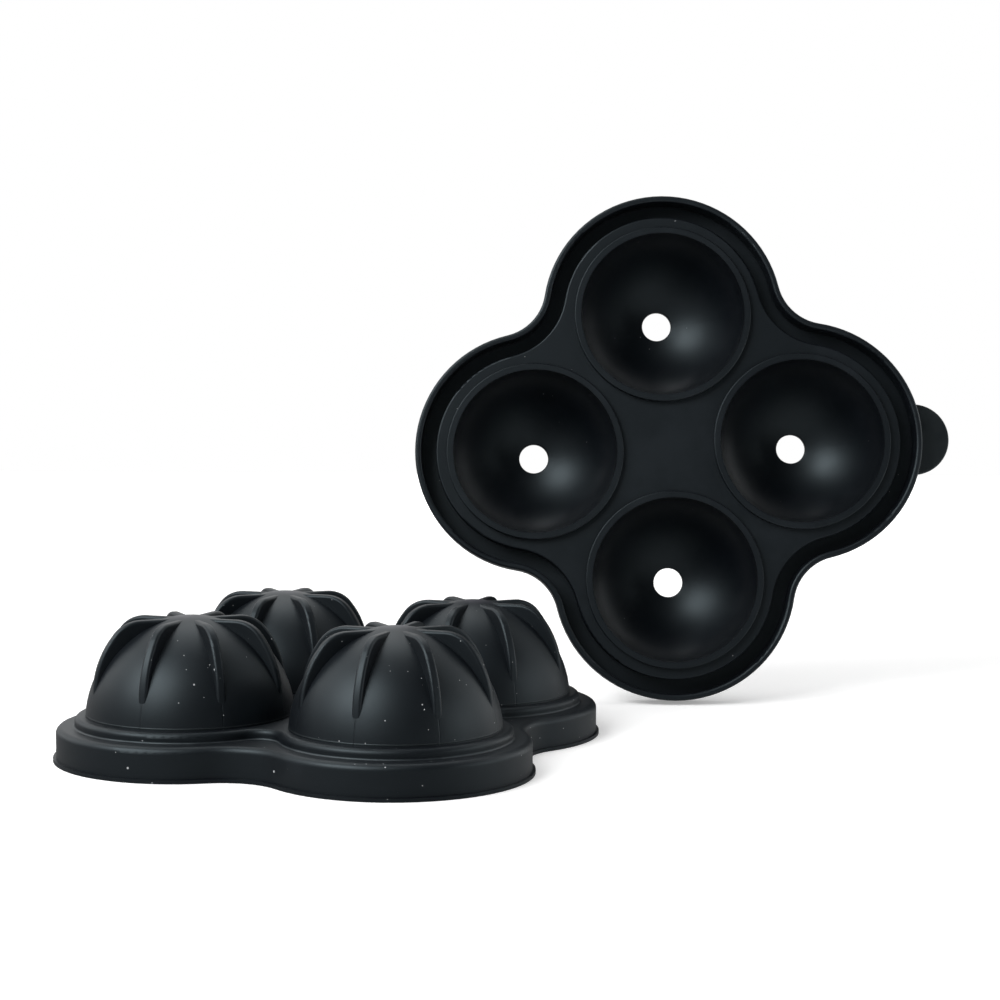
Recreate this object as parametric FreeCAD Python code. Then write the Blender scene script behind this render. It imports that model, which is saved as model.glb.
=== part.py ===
import FreeCAD, Part
import math
import os

# Ice ball mould for four balls, moulded in soft rubber as two halves. The ribbed half has eight fins on
# each dome, which are its feet in use. The filling half has a fill hole over each ball and a pull tab.
# Millimetres, +Z up. The halves lie open: the ribbed one on its rim with its domes up, and the filling one
# on edge behind it, with its inner face to the front (-Y). The origin is on the floor, under the middle of
# the pair.

# Balls
ball_diameter = 45.0
ball_reach = 36.7            # from the middle of a half to the middle of each ball
ball_count = 4

# Walls and rims
dome_wall = 1.9
dome_top_wall = 3.55         # at the top of each ribbed dome, where its wall is thickest
web_wall = 2.5
ring_height = 1.8            # raised ring round each ball, on the filling half
ring_width = 1.8
plateau_margin = 4.75        # from a ball's edge to the step down into the groove
rim_thickness = 3.7          # the ribbed half's rim, which the groove takes
rim_depth = 5.4
skirt_wall = 1.7             # the filling half's skirt, outside the rim
waist_radius = 13.6          # hollow of the skirt's outline between two lobes
lip_reach = 0.7              # seal lip round the rim's free edge
lip_thickness = 0.8
mating_gap = 0.15            # clearance wherever one half enters the other
lip_clearance = 0.3          # extra depth of the seat that the seal lip snaps into

# Collar at the foot of each ribbed dome
collar_wall = 2.4
collar_height = 2.4
collar_shoulder = 1.2
collar_root = 0.5
collar_blend = 5.5           # hollow that joins two collars where they run together
collar_blend_share = 0.6     # most that it may take of the way from a collar to the mould's middle

# Fins
fin_count = 8
fin_thickness = 2.2
fin_flat_reach = 12.0        # half the length of the flat crown that the mould stands on in use
fin_shoulder_radius = 8.0
fin_shoulder_turn = 50.0     # degrees between the crown and the flank
fin_end_reach = 23.3
fin_end_rise = 8.6           # from the ball's middle up to the fin's blunt end
fin_edge_radius = 0.7
fin_crown_drop = 0.55        # from the dome's top down to the crown

# Fill holes and pull tab
hole_diameter = 8.2
tab_radius = 9.9
tab_overlap = 0.8            # how far the tab's round end is centred inside the skirt's outline
tab_thickness = 1.6
tab_root_radius = 2.0

# Rounded edges
flange_round = 1.5
skirt_round = 0.65
ring_round = 0.3
plateau_round = 0.5
tab_round = 0.5
hole_round = 0.4
dome_root_round = 1.0

# How the halves are laid out
ribbed_turn = 26.2           # degrees about the vertical
filling_offset_x = 85.8      # from the ribbed half's middle to the filling half's, across the front
filling_offset_y = 64.0      # and away from the front
filling_lean = 8.7           # degrees that its top leans away from the front
filling_spin = 2.5           # degrees anticlockwise in its own plane, seen from the front

ball_radius = ball_diameter / 2
dome_radius = ball_radius + dome_wall
ring_radius = ball_radius + ring_width
seat_radius = ring_radius + mating_gap
collar_radius = seat_radius + collar_wall
joint_radius = min(collar_blend, (ball_reach - collar_radius) * collar_blend_share)
plateau_radius = ball_radius + plateau_margin
rim_inner_radius = plateau_radius + mating_gap
rim_radius = rim_inner_radius + rim_thickness
skirt_inner_radius = rim_radius + mating_gap
skirt_radius = skirt_inner_radius + skirt_wall

# Heights of the ribbed half, from its rim's free edge
flange_height = rim_depth + web_wall
ball_height = rim_depth + ring_height
dome_height = ball_height + dome_top_wall - dome_wall
collar_top = flange_height + collar_height

# Heights of the filling half, from the inner face of its web towards its domes
groove_depth = rim_depth + mating_gap
back_height = groove_depth + web_wall
open_face = -ring_height

lobe_step = 2 * math.pi / ball_count
level_tolerance = 1e-4       # edges within this of a height, a radius or a plane count as on it
UP = FreeCAD.Vector(0, 0, 1)
ORIGIN = FreeCAD.Vector(0, 0, 0)


def on_circle(radius, angle, z=0.0):
    return FreeCAD.Vector(radius * math.cos(angle), radius * math.sin(angle), z)


def side_point(x, z):
    """Point of a profile in the XZ plane."""
    return FreeCAD.Vector(x, 0, z)


def side_arc_point(centre, radius, degrees):
    """Point of an arc in the XZ plane, with 0 degrees along +X and 90 along +Z."""
    angle = math.radians(degrees)
    return centre + side_point(radius * math.cos(angle), radius * math.sin(angle))


def line(start, end):
    return Part.LineSegment(start, end).toShape()


def arc(start, through, end):
    return Part.Arc(start, through, end).toShape()


def outline(points):
    """Straight edges through a list of points."""
    return [line(a, b) for a, b in zip(points, points[1:])]


def turned(edges):
    """Solid of revolution about the Z axis."""
    return Part.Face(Part.Wire(edges)).revolve(ORIGIN, UP, 360)


def at_each_ball(shape):
    copies = []
    for index in range(ball_count):
        copy = shape.copy()
        copy.translate(on_circle(ball_reach, index * lobe_step))
        copies.append(copy)
    return copies


def clover_face(lobe_radius, hollow_radius, z, side=1):
    """Face bounded by a lobe round each ball and a hollow between two, or the space in their middle (-1)."""
    half_step = lobe_step / 2
    half_span = ball_reach * math.sin(half_step)
    rise = math.sqrt((lobe_radius + hollow_radius) ** 2 - half_span ** 2)
    hollow_reach = ball_reach * math.cos(half_step) + side * rise
    edges = []
    for index in range(ball_count):
        angle = index * lobe_step
        lobe = on_circle(ball_reach, angle, z)
        next_lobe = on_circle(ball_reach, angle + lobe_step, z)
        behind = on_circle(hollow_reach, angle - half_step, z)
        ahead = on_circle(hollow_reach, angle + half_step, z)
        start = lobe + (behind - lobe).normalize() * lobe_radius
        tip = on_circle(ball_reach + side * lobe_radius, angle, z)
        end = lobe + (ahead - lobe).normalize() * lobe_radius
        waist = on_circle(hollow_reach - side * hollow_radius, angle + half_step, z)
        next_start = next_lobe + (ahead - next_lobe).normalize() * lobe_radius
        edges.append(arc(start, tip, end))
        edges.append(arc(end, waist, next_start))
    return Part.Face(Part.Wire(edges))


def clover(lobe_radius, bottom, top):
    """Clover-shaped prism, with every such outline parallel to the skirt's outer one."""
    hollow_radius = waist_radius + skirt_radius - lobe_radius
    return clover_face(lobe_radius, hollow_radius, bottom).extrude(UP * (top - bottom))


def edges_at(solid, z):
    """Every edge that lies at one height."""
    edges = []
    for edge in solid.Edges:
        box = edge.BoundBox
        if max(abs(box.ZMin - z), abs(box.ZMax - z)) < level_tolerance:
            edges.append(edge)
    return edges


def round_level(solid, z, radius):
    return solid.makeFillet(radius, edges_at(solid, z))


def has_radius(edge, radii):
    if not isinstance(edge.Curve, Part.Circle):
        return False
    return any(abs(edge.Curve.Radius - radius) < level_tolerance for radius in radii)


def dome(radius, level, foot):
    """Half a ball above a level, carried straight down to its foot."""
    middle = side_point(0, level)
    top = side_arc_point(middle, radius, 90)
    side = side_arc_point(middle, radius, 0)
    edges = [arc(top, side_arc_point(middle, radius, 45), side)]
    edges += outline([side, side_point(radius, foot), side_point(0, foot), top])
    return turned(edges)


def disc(radius, bottom, top):
    return Part.makeCylinder(radius, top - bottom, side_point(0, bottom), UP)


def collars():
    """Rings round the domes' feet, run together where they meet, with a rounded shoulder."""
    bottom = flange_height - web_wall / 2
    height = UP * (collar_top - bottom)
    whole = clover_face(collar_radius, joint_radius, bottom).extrude(height)
    middle = clover_face(collar_radius, joint_radius, bottom, -1).extrude(height)
    return round_level(whole.cut(middle), collar_top, collar_shoulder)


def collared_flange():
    """Flange with the collars on it, and a fillet along their feet."""
    flange = round_level(clover(rim_radius, 0, flange_height), flange_height, flange_round)
    body = flange.fuse(collars()).removeSplitter()
    feet = [edge for edge in edges_at(body, flange_height) if has_radius(edge, (collar_radius, joint_radius))]
    return body.makeFillet(collar_root, feet)


def fin():
    """One fin along +X: a flat crown, a round shoulder, a bowed flank and a blunt end."""
    crown = dome_height + dome_radius - fin_crown_drop
    root = ball_height + fin_end_rise
    shoulder_centre = side_point(fin_flat_reach, crown - fin_shoulder_radius)
    crown_end = side_arc_point(shoulder_centre, fin_shoulder_radius, 90)
    shoulder_middle = side_arc_point(shoulder_centre, fin_shoulder_radius, 90 - fin_shoulder_turn / 2)
    flank_start = side_arc_point(shoulder_centre, fin_shoulder_radius, 90 - fin_shoulder_turn)
    flank_end = side_point(fin_end_reach, root)
    turn = math.radians(fin_shoulder_turn)
    chord = flank_end - flank_start
    half_turn = side_point(math.cos(turn), -math.sin(turn)).getAngle(chord)
    bow = chord.Length / 2 * math.tan(half_turn / 2)
    flank_middle = (flank_start + flank_end) / 2 + side_point(-chord.z, chord.x).normalize() * bow
    flat = [line(side_point(0, crown), crown_end)]
    bowed = [arc(crown_end, shoulder_middle, flank_start), arc(flank_start, flank_middle, flank_end)]
    closing = outline([flank_end, side_point(0, root), side_point(0, crown)])
    blade = Part.Face(Part.Wire(flat + bowed + closing)).extrude(FreeCAD.Vector(0, fin_thickness, 0))
    blade.translate(FreeCAD.Vector(0, -fin_thickness / 2, 0))
    crest = [edge for edge in blade.Edges if is_crest(edge, root)]
    return blade.makeFillet(fin_edge_radius, crest)


def is_crest(edge, root):
    """True for the long outer edges on a fin's two side faces."""
    box = edge.BoundBox
    along_side = box.YMax - box.YMin < fin_thickness / 2
    reaches_up = box.ZMax > root + fin_edge_radius
    reaches_out = box.XMax > fin_edge_radius
    upright_in_middle = box.XMax - box.XMin < level_tolerance
    return along_side and reaches_up and reaches_out and not upright_in_middle


def fins():
    copies = []
    for index in range(fin_count):
        copy = fin()
        copy.rotate(ORIGIN, UP, 360.0 * index / fin_count)
        copies.append(copy)
    return copies


def ribbed_half():
    """Rim, web, collars, domes and fins, with the hollows that the filling half enters."""
    lip = clover(rim_radius + lip_reach, 0, lip_thickness)
    mound = dome(dome_radius, dome_height, rim_depth).fuse(fins())
    body = collared_flange().fuse([lip] + at_each_ball(mound))
    hollow = clover(rim_inner_radius, 0, rim_depth)
    cavity = dome(ball_radius, ball_height, rim_depth).fuse(disc(seat_radius, rim_depth, ball_height))
    return body.cut([hollow] + at_each_ball(cavity)).removeSplitter()


def tab():
    """Thin half-round tab on the +X lobe, blended into the skirt's outline by a hollow on each side."""
    lobe = FreeCAD.Vector(ball_reach, 0, back_height - tab_thickness)
    middle = lobe + FreeCAD.Vector(skirt_radius - tab_overlap, 0, 0)
    reach = middle.x - lobe.x
    to_lobe = skirt_radius + tab_root_radius
    to_tab = tab_radius + tab_root_radius
    along = (reach ** 2 + to_lobe ** 2 - to_tab ** 2) / (2 * reach)
    across = math.sqrt(to_lobe ** 2 - along ** 2)
    edges = []
    ends = []
    for side in (1, -1):
        root = lobe + FreeCAD.Vector(along, side * across, 0)
        on_lobe = root + (lobe - root).normalize() * tab_root_radius
        on_tab = root + (middle - root).normalize() * tab_root_radius
        bend = root + ((on_lobe + on_tab) / 2 - root).normalize() * tab_root_radius
        edges.append(arc(on_lobe, bend, on_tab))
        ends.append((on_lobe, on_tab))
    tip = middle + FreeCAD.Vector(tab_radius, 0, 0)
    edges.insert(1, arc(ends[0][1], tip, ends[1][1]))
    edges.append(line(ends[1][0], ends[0][0]))
    plate = Part.Face(Part.Wire(Part.sortEdges(edges)[0])).extrude(UP * tab_thickness)
    free = [edge for edge in plate.Edges if is_free_edge(edge, ends[0][0].x)]
    return plate.makeFillet(tab_round, free)


def is_free_edge(edge, seam_x):
    """True for the tab's upper and lower edges away from its seam with the skirt."""
    box = edge.BoundBox
    return box.ZMax - box.ZMin < level_tolerance and box.XMax > seam_x + tab_round


def rooted_dome():
    """Outside of a filling dome, with a hollow root where it rises from the flat back."""
    middle = side_point(0, open_face)
    root_height = back_height + dome_root_round - open_face
    root_reach = math.sqrt((dome_radius + dome_root_round) ** 2 - root_height ** 2)
    root_centre = side_point(root_reach, back_height + dome_root_round)
    on_back = side_arc_point(root_centre, dome_root_round, 270)
    tangent = math.degrees(math.atan2(root_height, root_reach))
    on_dome = side_arc_point(middle, dome_radius, tangent)
    bend = side_arc_point(root_centre, dome_root_round, (270 + 180 + tangent) / 2)
    top = side_arc_point(middle, dome_radius, 90)
    edges = [arc(top, side_arc_point(middle, dome_radius, (90 + tangent) / 2), on_dome)]
    edges.append(arc(on_dome, bend, on_back))
    edges += outline([on_back, side_point(root_reach, 0), side_point(0, 0), top])
    return turned(edges)


def round_holes(body):
    """Soften the inner and outer edges of the fill holes."""
    return body.makeFillet(hole_round, [edge for edge in body.Edges if has_radius(edge, [hole_diameter / 2])])


def filling_half():
    """Skirt, groove, plateau, rings and domes, with the balls' upper halves and the fill holes cut out."""
    body = clover(skirt_radius, open_face, back_height)
    body = round_level(body, back_height, flange_round)
    body = body.cut(clover(skirt_inner_radius, open_face, groove_depth))
    body = round_level(body, open_face, skirt_round)
    seat_bottom = groove_depth - lip_thickness - lip_clearance
    body = body.cut(clover(skirt_inner_radius + lip_reach, seat_bottom, groove_depth))
    plateau = round_level(clover(plateau_radius, 0, groove_depth), 0, plateau_round)
    ring = round_level(disc(ring_radius, open_face, groove_depth), open_face, ring_round)
    body = body.fuse([plateau, tab()] + at_each_ball(ring) + at_each_ball(rooted_dome()))
    cavity = dome(ball_radius, open_face, open_face - ring_height)
    hole = disc(hole_diameter / 2, 0, dome_radius)
    body = body.cut(at_each_ball(cavity) + at_each_ball(hole))
    return round_holes(body.removeSplitter())


def lay_out(ribbed, filling):
    """Stand the halves as they lie open, with the lowest point of each on the floor."""
    ribbed.rotate(ORIGIN, UP, ribbed_turn)
    filling.translate(UP * ring_height)
    filling.rotate(ORIGIN, FreeCAD.Vector(1, 0, 0), -90)
    filling.rotate(ORIGIN, FreeCAD.Vector(0, -1, 0), filling_spin)
    filling.rotate(ORIGIN, FreeCAD.Vector(1, 0, 0), -filling_lean)
    lowest = filling.optimalBoundingBox(False, False).ZMin
    filling.translate(FreeCAD.Vector(filling_offset_x, filling_offset_y, -lowest))
    box = ribbed.optimalBoundingBox(False, False)
    box.add(filling.optimalBoundingBox(False, False))
    for half in (ribbed, filling):
        half.translate(FreeCAD.Vector(-box.Center.x, -box.Center.y, 0))


def main():
    ribbed = ribbed_half()
    filling = filling_half()
    lay_out(ribbed, filling)
    os.makedirs("parts", exist_ok=True)
    for name, half in (("ribbed_half", ribbed), ("filling_half", filling)):
        solid = half.Solids[0]
        solid.exportStep(os.path.join("parts", name + ".step"))
        volume = round(solid.Volume / 1000, 2)
        print(name, len(half.Solids), "solid", solid.isValid(), volume, "cm3", solid.BoundBox)


main()
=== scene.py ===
import math
import bpy
from mathutils import Matrix, Vector


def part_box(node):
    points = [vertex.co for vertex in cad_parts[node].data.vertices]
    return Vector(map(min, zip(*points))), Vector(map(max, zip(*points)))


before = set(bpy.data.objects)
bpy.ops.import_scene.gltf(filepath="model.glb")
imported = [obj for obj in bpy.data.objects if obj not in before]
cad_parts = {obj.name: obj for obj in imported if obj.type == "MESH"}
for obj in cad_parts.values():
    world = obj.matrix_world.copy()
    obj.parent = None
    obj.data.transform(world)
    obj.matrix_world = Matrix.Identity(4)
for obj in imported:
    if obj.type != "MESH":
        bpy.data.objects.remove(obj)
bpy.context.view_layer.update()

# Ice ball mold in matte black silicone, laid open: the ribbed half rests on its rim, and the filling half
# stands on edge behind it. Metres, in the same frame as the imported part.

ribbedLow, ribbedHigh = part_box('ribbed_half')
ribbedMiddle = (ribbedLow + ribbedHigh) / 2
scene = bpy.context.scene


def deselectAll():
    if bpy.context.mode != 'OBJECT':
        bpy.ops.object.mode_set(mode='OBJECT')
    bpy.ops.object.select_all(action='DESELECT')


# Camera

camera = {
    'offset': (0.03956, -0.4721),   # from the middle of the ribbed half
    'height': 0.09354,
    'pitch': 4.12,      # degrees down
    'roll': 0.29,
    'lens': 70.45,
    'sensor': 36,
    'clip': (0.01, 20),
}


def addCamera():
    aside, ahead = camera['offset']
    place = Vector((ribbedMiddle.x + aside, ribbedMiddle.y + ahead, camera['height']))
    bpy.ops.object.camera_add(location=place)
    cam = bpy.context.object
    cam.name = 'frontCamera'
    tilt = Matrix.Rotation(math.radians(90 - camera['pitch']), 4, 'X')
    roll = Matrix.Rotation(math.radians(camera['roll']), 4, 'Z')
    cam.matrix_world = Matrix.Translation(place) @ tilt @ roll
    cam.data.lens = camera['lens']
    cam.data.sensor_width = camera['sensor']
    cam.data.clip_start, cam.data.clip_end = camera['clip']
    scene.camera = cam


# Studio: pale floor, white surroundings, soft lamps

studio = {
    'floorSize': 2.2,
    'floorLevel': -0.00005,             # just under the rim, so that the two don't share a plane
    'floorColor': 0.86,                 # what the floor bounces onto the object
    'seenColor': 0.97,                  # what camera and gloss see of the light and shadow on it
    'seenWhite': 0.28,                  # and how near to white it is without any light
    'glossShares': (0.232, 0.39),       # the part of that which gloss sees, on the left and on the right
    'glossEdges': (-0.02, 0.03),        # from where to where it changes
    'whiteEdges': (0.30, 0.75),         # how far out it turns into the white background
    'roomLight': 0.45,                  # strength of the room on matte surfaces
    'backdrop': (0.35, 0.93, 0.10),     # the side where the room is white in gloss
    'backdropEdges': (-0.05, 0.95),
    'frontSides': (0.19, 0.05),         # how bright it is in front, on the left and on the right
    'frontEdges': (-0.55, 0.45),
    'lampTarget': (0, 0, 0.05),
}

lamps = {
    'keySoftbox': {'toward': (-0.61, -0.51, 0.60), 'distance': 0.85, 'size': (0.62, 0.46), 'power': 6.2},
    'leftSoftbox': {'toward': (-0.84, 0.34, 0.42), 'distance': 1.1, 'size': (0.7, 0.7), 'power': 2.1},
    'sideSoftbox': {'toward': (0.94, -0.24, 0.22), 'distance': 1.2, 'size': (0.7, 0.6), 'power': 2.2},
    'rimSoftbox': {'toward': (0.78, 0.59, 0.21), 'distance': 1.1, 'size': (0.7, 0.7), 'power': 0.9},
    'overheadSoftbox': {'toward': (-0.20, 0.42, 0.88), 'distance': 1.1, 'size': (0.7, 0.7), 'power': 2.6},
}


def newNode(tree, kind, **values):
    node = tree.nodes.new(kind)
    for key, value in values.items():
        setattr(node, key, value)
    return node


def mathNode(tree, operation, first, second=None, third=None, clamp=False):
    # One Math node. Each input is a socket or a number.
    node = newNode(tree, 'ShaderNodeMath', operation=operation, use_clamp=clamp)
    for slot, value in enumerate((first, second, third)):
        if isinstance(value, (int, float)):
            node.inputs[slot].default_value = value
        elif value is not None:
            tree.links.new(value, node.inputs[slot])
    return node.outputs[0]


def smoothBand(tree, value, low, high, start=0.0, end=1.0):
    # start at and below low, end at and above high, or the other way round where low is the larger.
    node = newNode(tree, 'ShaderNodeMapRange', interpolation_type='SMOOTHSTEP', clamp=True)
    for slot, source in enumerate((value, low, high, start, end)):
        if isinstance(source, (int, float)):
            node.inputs[slot].default_value = source
        else:
            tree.links.new(source, node.inputs[slot])
    return node.outputs[0]


def paleRays(tree, rays):
    # Camera, glossy and transmission rays, as one mask.
    first = mathNode(tree, 'MAXIMUM', rays['Is Camera Ray'], rays['Is Glossy Ray'])
    return mathNode(tree, 'MAXIMUM', first, rays['Is Transmission Ray'])


def addRoom():
    # The camera sees white all round. Gloss sees a white backdrop behind the object and a dim room in front.
    world = bpy.data.worlds.new('whiteRoom')
    world.use_nodes = True
    tree = world.node_tree
    tree.nodes.clear()
    rays = newNode(tree, 'ShaderNodeLightPath').outputs
    direction = newNode(tree, 'ShaderNodeTexCoord').outputs['Generated']
    facing = newNode(tree, 'ShaderNodeVectorMath', operation='DOT_PRODUCT')
    facing.inputs[1].default_value = studio['backdrop']
    tree.links.new(direction, facing.inputs[0])
    axes = newNode(tree, 'ShaderNodeSeparateXYZ')
    tree.links.new(direction, axes.inputs[0])
    front = smoothBand(tree, axes.outputs[0], *studio['frontEdges'], *studio['frontSides'])
    white = smoothBand(tree, facing.outputs['Value'], *studio['backdropEdges'], front, 1.0)
    seen = newNode(tree, 'ShaderNodeBackground')
    seen.inputs['Color'].default_value = (1, 1, 1, 1)
    tree.links.new(mathNode(tree, 'MAXIMUM', white, rays['Is Camera Ray']), seen.inputs['Strength'])
    light = newNode(tree, 'ShaderNodeBackground')
    light.inputs['Color'].default_value = (1, 1, 1, 1)
    light.inputs['Strength'].default_value = studio['roomLight']
    mix = newNode(tree, 'ShaderNodeMixShader')
    out = newNode(tree, 'ShaderNodeOutputWorld')
    tree.links.new(paleRays(tree, rays), mix.inputs[0])
    tree.links.new(light.outputs[0], mix.inputs[1])
    tree.links.new(seen.outputs[0], mix.inputs[2])
    tree.links.new(mix.outputs[0], out.inputs['Surface'])
    scene.world = world


def addFloor():
    deselectAll()
    bpy.ops.mesh.primitive_plane_add(size=studio['floorSize'], location=(0, 0, studio['floorLevel']))
    floor = bpy.context.object
    floor.name = 'floor'
    paint = bpy.data.materials.new('paleFloor')
    paint.use_nodes = True
    tree = paint.node_tree
    tree.nodes.clear()
    rays = newNode(tree, 'ShaderNodeLightPath').outputs
    place = newNode(tree, 'ShaderNodeTexCoord').outputs['Object']
    away = newNode(tree, 'ShaderNodeVectorMath', operation='LENGTH')
    tree.links.new(place, away.inputs[0])
    white = smoothBand(tree, away.outputs['Value'], *studio['whiteEdges'], studio['seenWhite'], 1.0)
    axes = newNode(tree, 'ShaderNodeSeparateXYZ')
    tree.links.new(place, axes.inputs[0])
    share = smoothBand(tree, axes.outputs[0], *studio['glossEdges'], *studio['glossShares'])
    lost = mathNode(tree, 'SUBTRACT', share, 1.0)
    dimmed = mathNode(tree, 'MULTIPLY_ADD', rays['Is Glossy Ray'], lost, 1.0)
    matte = newNode(tree, 'ShaderNodeBsdfDiffuse')
    matte.inputs['Color'].default_value = (*[studio['floorColor']] * 3, 1)
    shaded = newNode(tree, 'ShaderNodeBsdfDiffuse')
    tree.links.new(mathNode(tree, 'MULTIPLY', dimmed, studio['seenColor']), shaded.inputs['Color'])
    glow = newNode(tree, 'ShaderNodeEmission')
    glow.inputs['Color'].default_value = (1, 1, 1, 1)
    tree.links.new(mathNode(tree, 'MULTIPLY', dimmed, white), glow.inputs['Strength'])
    seen = newNode(tree, 'ShaderNodeAddShader')
    mix = newNode(tree, 'ShaderNodeMixShader')
    out = newNode(tree, 'ShaderNodeOutputMaterial')
    tree.links.new(shaded.outputs[0], seen.inputs[0])
    tree.links.new(glow.outputs[0], seen.inputs[1])
    tree.links.new(paleRays(tree, rays), mix.inputs[0])
    tree.links.new(matte.outputs[0], mix.inputs[1])
    tree.links.new(seen.outputs[0], mix.inputs[2])
    tree.links.new(mix.outputs[0], out.inputs['Surface'])
    floor.data.materials.append(paint)


def addLamps():
    target = Vector(studio['lampTarget'])
    for name, lamp in lamps.items():
        toward = Vector(lamp['toward']).normalized()
        place = target + toward * lamp['distance']
        bpy.ops.object.light_add(type='AREA', location=place)
        box = bpy.context.object
        box.name = name
        box.rotation_euler = toward.to_track_quat('Z', 'Y').to_euler()
        box.data.shape = 'RECTANGLE'
        box.data.size = lamp['size'][0]
        box.data.size_y = lamp['size'][1]
        box.data.energy = lamp['power']


addCamera()
addRoom()
addFloor()
addLamps()
scene.view_settings.view_transform = 'Standard'
print('studio and camera are up')


# Node groups: each reads object coordinates in metres, so a pattern keeps its size on every piece

def newGroup(name, inputs, outputs):
    group = bpy.data.node_groups.new(name, 'ShaderNodeTree')
    for label, value in inputs.items():
        kind = 'NodeSocketVector' if isinstance(value, tuple) else 'NodeSocketFloat'
        socket = group.interface.new_socket(name=label, in_out='INPUT', socket_type=kind)
        socket.default_value = value
    for label in outputs:
        group.interface.new_socket(name=label, in_out='OUTPUT', socket_type='NodeSocketFloat')
    return group, group.nodes.new('NodeGroupInput').outputs, group.nodes.new('NodeGroupOutput').inputs


def placeGroup(tree, group, values):
    node = newNode(tree, 'ShaderNodeGroup', node_tree=group)
    for label, value in values.items():
        node.inputs[label].default_value = value
    return node.outputs


speckForm = {
    'smallest': 0.3,                # the smallest speck, as a share of Radius
    'softFrom': 0.55,               # a speck fades out from this share of its size
    'driftDetail': 1.0,
    'driftEdges': (0.42, 0.66),     # noise between which the dust goes from thin to thick
    'driftShares': (0.25, 1.9),     # and what Share is multiplied by there
}


def makeDust():
    # Round specks strewn through space: each cell of Cell metres may hold one, up to Radius from its middle
    # out. They lie thicker in some places, Drift metres across.
    inputs = {'Cell': 0.003, 'Radius': 0.0003, 'Share': 0.5, 'Drift': 0.02, 'Seed': 0.0}
    group, given, gives = newGroup('dustSpecks', inputs, ['Mask'])
    place = newNode(group, 'ShaderNodeTexCoord').outputs['Object']
    shift = newNode(group, 'ShaderNodeVectorMath', operation='ADD')
    group.links.new(place, shift.inputs[0])
    group.links.new(given['Seed'], shift.inputs[1])
    cells = newNode(group, 'ShaderNodeTexVoronoi', voronoi_dimensions='3D', feature='F1')
    group.links.new(shift.outputs[0], cells.inputs['Vector'])
    group.links.new(mathNode(group, 'DIVIDE', 1.0, given['Cell']), cells.inputs['Scale'])
    draw = newNode(group, 'ShaderNodeSeparateColor')
    group.links.new(cells.outputs['Color'], draw.inputs[0])
    away = mathNode(group, 'MULTIPLY', cells.outputs['Distance'], given['Cell'])
    smallest = speckForm['smallest']
    share = mathNode(group, 'MULTIPLY_ADD', draw.outputs[1], 1 - smallest, smallest)
    size = mathNode(group, 'MULTIPLY', given['Radius'], share)
    speck = smoothBand(group, away, size, mathNode(group, 'MULTIPLY', size, speckForm['softFrom']))
    drift = newNode(group, 'ShaderNodeTexNoise', noise_dimensions='3D')
    drift.inputs['Detail'].default_value = speckForm['driftDetail']
    group.links.new(shift.outputs[0], drift.inputs['Vector'])
    group.links.new(mathNode(group, 'DIVIDE', 1.0, given['Drift']), drift.inputs['Scale'])
    thick = smoothBand(group, drift.outputs['Fac'], *speckForm['driftEdges'], *speckForm['driftShares'])
    filled = mathNode(group, 'MULTIPLY', thick, given['Share'])
    held = mathNode(group, 'LESS_THAN', draw.outputs[0], filled)
    group.links.new(mathNode(group, 'MULTIPLY', speck, held), gives['Mask'])
    return group


skinNoise = {       # detail and roughness
    'Grain': (2.0, 0.6),
    'Wave': (1.0, 0.5),
    'Patch': (4.0, 0.62),
}


def makeSkin():
    # Moulded silicone skin: a fine grain, a slow waviness, and patches left by handling.
    inputs = {'Grain Size': 0.00035, 'Wave Size': 0.012, 'Patch Size': 0.02}
    group, given, gives = newGroup('siliconeSkin', inputs, list(skinNoise))
    place = newNode(group, 'ShaderNodeTexCoord').outputs['Object']
    for label, (detail, rough) in skinNoise.items():
        noise = newNode(group, 'ShaderNodeTexNoise', noise_dimensions='3D')
        noise.inputs['Detail'].default_value = detail
        noise.inputs['Roughness'].default_value = rough
        group.links.new(place, noise.inputs['Vector'])
        group.links.new(mathNode(group, 'DIVIDE', 1.0, given[label + ' Size']), noise.inputs['Scale'])
        group.links.new(noise.outputs['Fac'], gives[label])
    return group


finCount = 8        # on each dome, with a mould line under each


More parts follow.
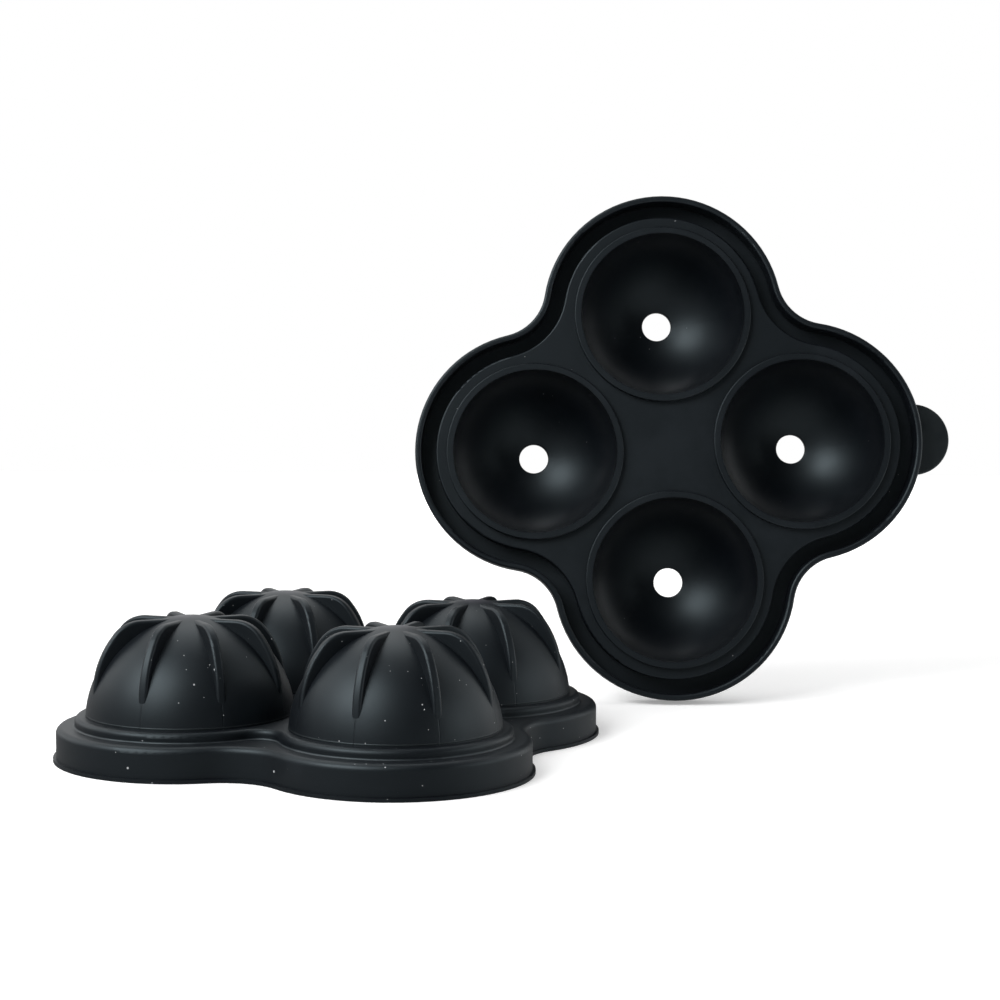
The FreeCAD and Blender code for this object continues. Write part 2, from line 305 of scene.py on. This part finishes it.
def makeMouldForm():
    # Where a point lies on a half: in a ball cavity, at the top of a dome, on the pull tab, on a mould line,
    # or on the line round a dome's or a collar's foot; the top and the foot lines get painted highlights.
    # These starting values give only the cavities.
    inputs = {'Middle': (0.0, 0.0, 0.0), 'Turn': (0.0, 0.0, 0.0), 'Ball Reach': 0.0367, 'Ball Level': 0.0,
              'Ball Radius': 0.0228, 'Seam Low': 0.0, 'Seam High': 0.0, 'Seam Width': 0.0002,
              'Foot Level': -1.0, 'Collar Level': -1.0, 'Top Level': 1.0, 'Top Radius': 0.006,
              'Tab Reach': 1.0}
    group, given, gives = newGroup('mouldForm', inputs, ['Cavity', 'Seam', 'Foot', 'Collar', 'Top', 'Tab'])
    place = newNode(group, 'ShaderNodeTexCoord').outputs['Object']
    shift = newNode(group, 'ShaderNodeVectorMath', operation='SUBTRACT')
    group.links.new(place, shift.inputs[0])
    group.links.new(given['Middle'], shift.inputs[1])
    upright = newNode(group, 'ShaderNodeVectorRotate', rotation_type='EULER_XYZ', invert=True)
    group.links.new(shift.outputs[0], upright.inputs['Vector'])
    group.links.new(given['Turn'], upright.inputs['Rotation'])
    axes = newNode(group, 'ShaderNodeSeparateXYZ')
    group.links.new(upright.outputs[0], axes.inputs[0])
    sideX = mathNode(group, 'ABSOLUTE', axes.outputs[0])
    sideY = mathNode(group, 'ABSOLUTE', axes.outputs[1])
    out = mathNode(group, 'SUBTRACT', mathNode(group, 'MAXIMUM', sideX, sideY), given['Ball Reach'])
    across = mathNode(group, 'MINIMUM', sideX, sideY)
    squares = mathNode(group, 'MULTIPLY_ADD', out, out, mathNode(group, 'MULTIPLY', across, across))
    fromAxis = mathNode(group, 'SQRT', squares)
    level = mathNode(group, 'SUBTRACT', axes.outputs[2], given['Ball Level'])
    fromBall = mathNode(group, 'SQRT', mathNode(group, 'MULTIPLY_ADD', level, level, squares))
    group.links.new(mathNode(group, 'LESS_THAN', fromBall, given['Ball Radius']), gives['Cavity'])
    aside = mathNode(group, 'PINGPONG', mathNode(group, 'ARCTAN2', across, out), math.pi / finCount)
    line = smoothBand(group, mathNode(group, 'MULTIPLY', aside, fromAxis), given['Seam Width'], 0.0)
    above = mathNode(group, 'GREATER_THAN', axes.outputs[2], given['Seam Low'])
    below = mathNode(group, 'LESS_THAN', axes.outputs[2], given['Seam High'])
    between = mathNode(group, 'MULTIPLY', above, below)
    group.links.new(mathNode(group, 'MULTIPLY', line, between), gives['Seam'])
    for label in ('Foot', 'Collar'):
        height = mathNode(group, 'SUBTRACT', axes.outputs[2], given[label + ' Level'])
        away = mathNode(group, 'ABSOLUTE', height)
        group.links.new(smoothBand(group, away, given['Seam Width'], 0.0), gives[label])
    group.links.new(mathNode(group, 'GREATER_THAN', axes.outputs[0], given['Tab Reach']), gives['Tab'])
    high = mathNode(group, 'GREATER_THAN', axes.outputs[2], given['Top Level'])
    near = smoothBand(group, fromAxis, given['Top Radius'], 0.0)
    group.links.new(mathNode(group, 'MULTIPLY', near, high), gives['Top'])
    return group


dustSpecks = makeDust()
siliconeSkin = makeSkin()
mouldForm = makeMouldForm()
print('node groups are made')


# Material: black silicone

silicone = {
    'skin': {'Grain Size': 0.00035, 'Wave Size': 0.012, 'Patch Size': 0.02},
    'color': (0.0006, 0.0012, 0.0030),
    'paleColor': (0.0026, 0.0035, 0.0058),      # where handling has left it a little greyer
    'paleEdges': (0.50, 0.68),                  # values of the patches from where to where it does
    'dustColor': (0.36, 0.37, 0.38),
    'footHighlightColor': (0.014, 0.017, 0.018),         # painted highlight: a lighter line along the crease at the domes' feet
    'collarHighlightColor': (0.045, 0.052, 0.056),       # painted highlight: a light line in the fillet at the collars' feet
    'tabColor': (0.009, 0.011, 0.012),          # a lighter grey on the pull tab
    'topHighlightColor': (0.055, 0.052, 0.064),          # painted highlight: a lighter violet grey on the domes' tops, where they catch the backdrop at grazing
    'markPatchEdges': (0.36, 0.56),                # values of the patches between which the painted highlights and the tab's grey are
    'markPatchShares': (0.25, 1.0),                # weak and full
    'roughness': (0.43, 0.53),
    'cavityPolish': 0.05,                       # so much less rough in the ball cavities
    'dustRoughness': 0.4,                       # and so much rougher on a speck
    'specular': 0.50,
    'specularTint': (0.77, 0.93, 1.0, 1),
    'grainHeight': 0.000006,
    'waveHeight': 0.00010,
    'seamHeight': 0.00005,
}

layout = {
    'ribbedTurn': 26.2,     # degrees about the vertical
    'fillingLean': 8.7,     # degrees that its top leans back
    'fillingSpin': 2.5,     # degrees anticlockwise, seen from the front
    'fillingMiddle': (0.03592, 0.04940, 0.07009),
}

ribbedTurn = Matrix.Rotation(math.radians(layout['ribbedTurn']), 3, 'Z')
fillingTilt = Matrix.Rotation(math.radians(-90 - layout['fillingLean']), 3, 'X')
fillingTurn = fillingTilt @ Matrix.Rotation(math.radians(-layout['fillingSpin']), 3, 'Z')
forms = {
    'ribbed_half': {'Middle': (ribbedMiddle.x, ribbedMiddle.y, 0.0), 'Turn': ribbedTurn.to_euler('XYZ'),
                    'Ball Level': 0.0072, 'Seam Low': 0.0103, 'Seam High': 0.0158, 'Foot Level': 0.01075,
                    'Collar Level': 0.00808, 'Top Level': 0.0305},
    'filling_half': {'Middle': layout['fillingMiddle'], 'Turn': fillingTurn.to_euler('XYZ'),
                     'Tab Reach': 0.0698},
}

dusting = {
    'ribbed_half': {'fine': {'Cell': 0.0021, 'Radius': 0.00021, 'Share': 0.50, 'Seed': 0.31},
                    'large': {'Cell': 0.0050, 'Radius': 0.00036, 'Share': 0.45, 'Seed': 1.73}},
    'filling_half': {'fine': {'Cell': 0.0026, 'Radius': 0.00016, 'Share': 0.20, 'Seed': 2.17},
                     'large': {'Cell': 0.0090, 'Radius': 0.00030, 'Share': 0.25, 'Seed': 0.83}},
}


def mixColors(tree, mask, low, high):
    # low where the mask is 0, high where it is 1. Each is a socket or a colour.
    node = newNode(tree, 'ShaderNodeMix', data_type='RGBA')
    tree.links.new(mask, node.inputs[0])
    for slot, value in ((6, low), (7, high)):       # the Mix node's two colour inputs
        if isinstance(value, tuple):
            node.inputs[slot].default_value = (*value, 1)
        else:
            tree.links.new(value, node.inputs[slot])
    return node.outputs[2]


def addBump(tree, height, distance, below=None):
    node = newNode(tree, 'ShaderNodeBump')
    node.inputs['Distance'].default_value = distance
    tree.links.new(height, node.inputs['Height'])
    if below is not None:
        tree.links.new(below, node.inputs['Normal'])
    return node.outputs[0]


def makeSilicone(name, dust, form):
    paint = bpy.data.materials.new(name)
    paint.use_nodes = True
    tree = paint.node_tree
    shader = tree.nodes['Principled BSDF']
    skin = placeGroup(tree, siliconeSkin, silicone['skin'])
    mould = placeGroup(tree, mouldForm, form)
    fine = placeGroup(tree, dustSpecks, dust['fine'])['Mask']
    large = placeGroup(tree, dustSpecks, dust['large'])['Mask']
    specks = mathNode(tree, 'MAXIMUM', fine, large)
    handled = smoothBand(tree, skin['Patch'], *silicone['paleEdges'])
    rubber = mixColors(tree, handled, silicone['color'], silicone['paleColor'])
    # painted highlight along the crease at each dome's foot
    rubber = mixColors(tree, mould['Foot'], rubber, silicone['footHighlightColor'])
    # patchy painted highlights on the domes' tops and the collars' feet, and a lighter grey on the pull tab
    uneven = smoothBand(tree, skin['Patch'], *silicone['markPatchEdges'], *silicone['markPatchShares'])
    for label, color in (('Top', 'topHighlightColor'), ('Collar', 'collarHighlightColor'), ('Tab', 'tabColor')):
        highlightAndTabMask = mathNode(tree, 'MULTIPLY', mould[label], uneven)
        rubber = mixColors(tree, highlightAndTabMask, rubber, silicone[color])
    tree.links.new(mixColors(tree, specks, rubber, silicone['dustColor']), shader.inputs['Base Color'])
    smooth, rough = silicone['roughness']
    worn = mathNode(tree, 'MULTIPLY_ADD', skin['Patch'], rough - smooth, smooth)
    worn = mathNode(tree, 'MULTIPLY_ADD', mould['Cavity'], -silicone['cavityPolish'], worn)
    worn = mathNode(tree, 'MULTIPLY_ADD', specks, silicone['dustRoughness'], worn, clamp=True)
    tree.links.new(worn, shader.inputs['Roughness'])
    waved = addBump(tree, skin['Wave'], silicone['waveHeight'])
    lines = mathNode(tree, 'SUBTRACT', mould['Foot'], mould['Seam'])
    lined = addBump(tree, lines, silicone['seamHeight'], waved)
    grained = addBump(tree, skin['Grain'], silicone['grainHeight'], lined)
    tree.links.new(grained, shader.inputs['Normal'])
    shader.inputs['Specular IOR Level'].default_value = silicone['specular']
    shader.inputs['Specular Tint'].default_value = silicone['specularTint']
    return paint


for name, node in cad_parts.items():
    node.data.materials.clear()
    node.data.materials.append(makeSilicone('silicone_' + name, dusting[name], forms[name]))
print('silicone is on both halves')
